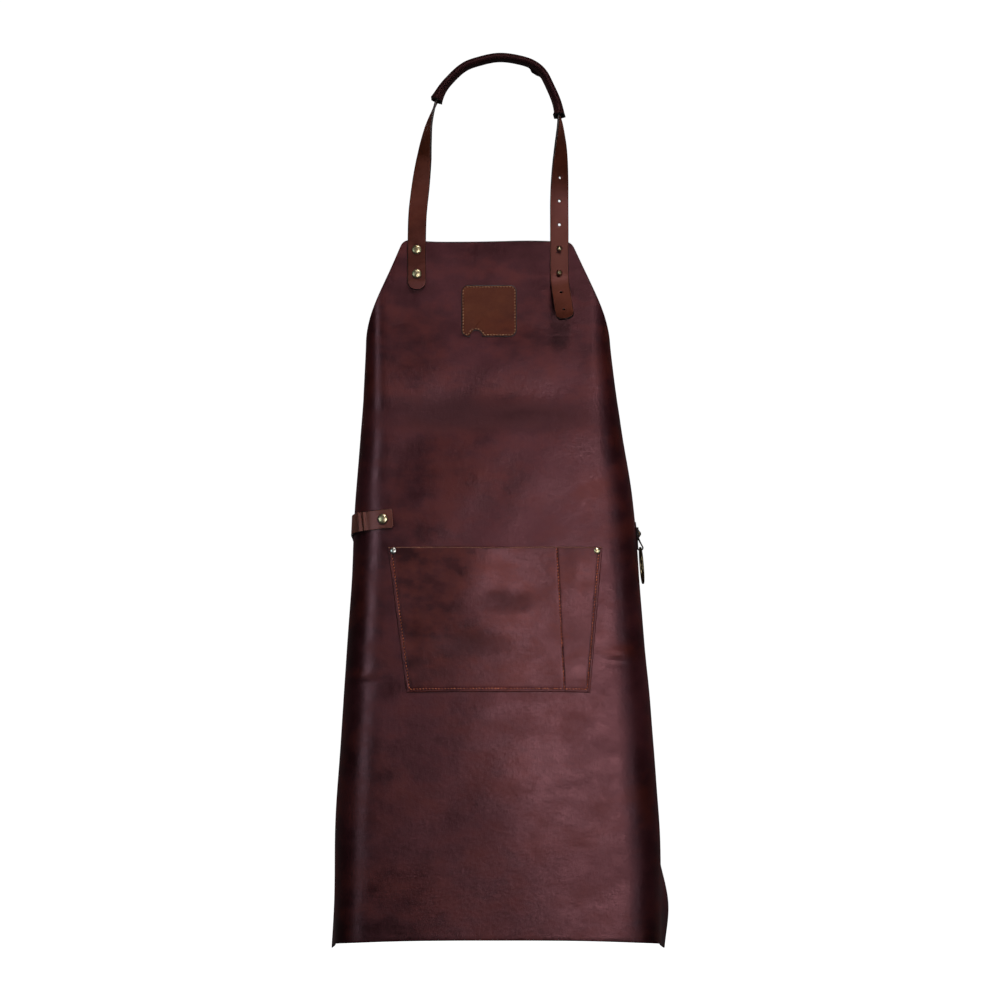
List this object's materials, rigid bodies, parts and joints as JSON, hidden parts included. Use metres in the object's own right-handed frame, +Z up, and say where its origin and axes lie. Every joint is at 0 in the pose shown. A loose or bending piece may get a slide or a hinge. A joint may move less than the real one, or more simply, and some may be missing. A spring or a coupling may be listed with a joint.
{
  "type": "leather apron",
  "caption": "Bib apron in dark leather, wrapped as when worn, with a patch pocket, a bare label, a buttoned neck strap in a soft sleeve, a waist strap and a side ring.",
  "frame": {"origin": "underside of the neck sleeve at its middle, where the apron hangs", "axes": "+Z up, the front faces -Y, +X to the right of someone looking at the front"},
  "size_m": [0.419, 0.3, 1.1077],
  "materials": {
    "body_leather": "oiled pull-up",
    "sleeve_leather": "soft matt",
    "strap_leather": "oiled smooth",
    "brass": "antique"
  },
  "bodies": {
    "apron": {"apron_body": "body_leather", "pocket": "body_leather", "label_patch": "strap_leather", "neck_strap": "strap_leather", "neck_pad": "sleeve_leather", "neck_rivet_upper": "brass", "neck_rivet_lower": "brass", "neck_stud_upper": "brass", "neck_stud_lower": "brass", "pocket_rivet_left": "brass", "pocket_rivet_right": "brass", "waist_strap": "strap_leather", "waist_rivet": "brass", "waist_stud": "brass", "ring_tab": "strap_leather", "ring_rivet": "brass"},
    "ring": {"ring": "brass"}
  },
  "joints": [
    {"name": "ring_swing", "type": "hinge", "parent": "apron", "child": "ring", "pos_m": [0.17829, 0.02037, -0.59713], "axis": [0.054, -0.9985, 0], "range_deg": [0, 110]}
  ]
}
